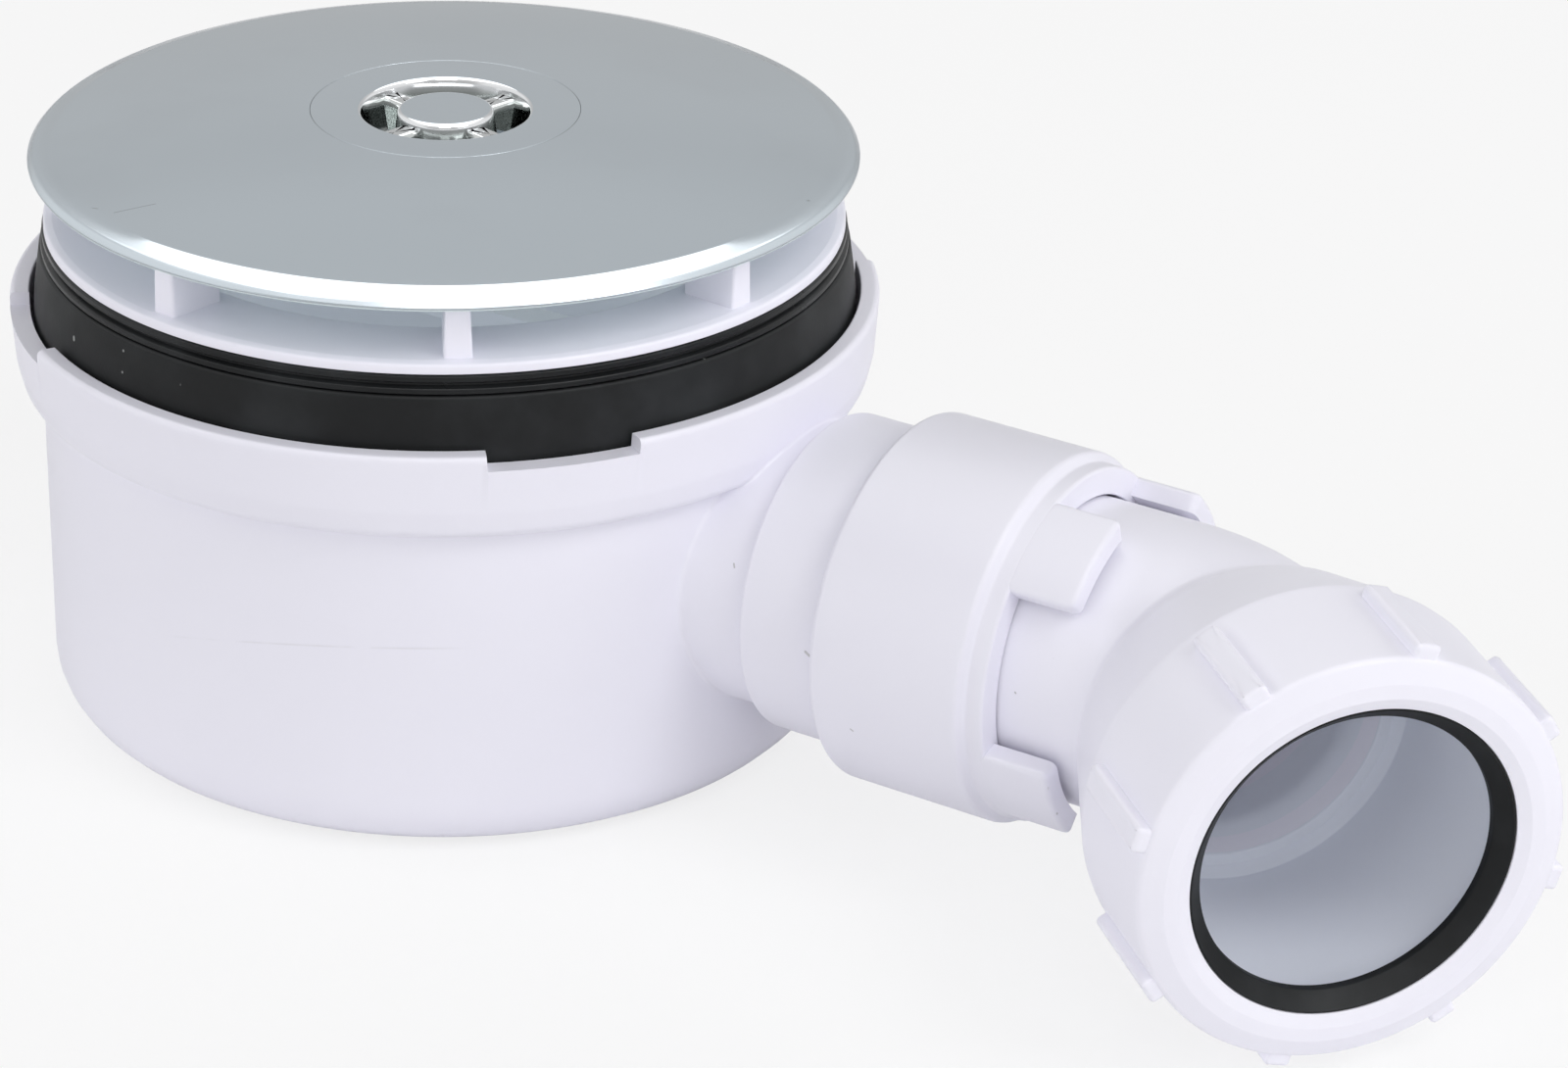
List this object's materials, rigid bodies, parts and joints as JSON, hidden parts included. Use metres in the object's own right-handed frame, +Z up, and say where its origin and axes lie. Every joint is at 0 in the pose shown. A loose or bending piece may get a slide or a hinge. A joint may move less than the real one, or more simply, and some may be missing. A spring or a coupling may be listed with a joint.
{
  "type": "shower trap",
  "caption": "Low round shower waste trap with a chrome cover on ribs, rubber tray seals, a white cup and a swivel elbow with a compression outlet.",
  "frame": {"origin": "centre of the flat base that the trap stands on", "axes": "+Z up along the body and the waste hole, +X along the outlet socket from the body to the elbow"},
  "size_m": [0.2323, 0.1192, 0.0852],
  "materials": {
    "chrome": "chrome plated, polished",
    "white": "moulded white, half gloss",
    "rubber": "black moulded rubber"
  },
  "bodies": {
    "trap": {"trap_body": "white", "thread_ring": "white", "tray_seal": "rubber"},
    "waste": {"waste_flange": "white", "flange_seal": "rubber", "cover_plate": "chrome", "cover_insert": "chrome", "dip_tube": "white", "dip_ring": "rubber"},
    "swivel_nut": {"swivel_nut": "white"},
    "elbow": {"elbow": "white", "swivel_seal": "rubber", "outlet_seal": "rubber"},
    "outlet_nut": {"outlet_nut": "white"}
  },
  "joints": [
    {"name": "flange_screw", "type": "hinge", "parent": "trap", "child": "waste", "pos_m": [0, 0, 0.06], "axis": [0, 0, 1], "continuous": true},
    {"name": "swivel_nut_turn", "type": "hinge", "parent": "trap", "child": "swivel_nut", "pos_m": [0.085, 0, 0.0329], "axis": [1, 0, 0], "continuous": true},
    {"name": "elbow_swivel", "type": "hinge", "parent": "trap", "child": "elbow", "pos_m": [0.1, 0, 0.0329], "axis": [1, 0, 0], "continuous": true},
    {"name": "outlet_nut_turn", "type": "hinge", "parent": "elbow", "child": "outlet_nut", "pos_m": [0.14837, -0.02226, 0.03138], "axis": [0.7705, -0.6359, -0.0434], "continuous": true}
  ]
}
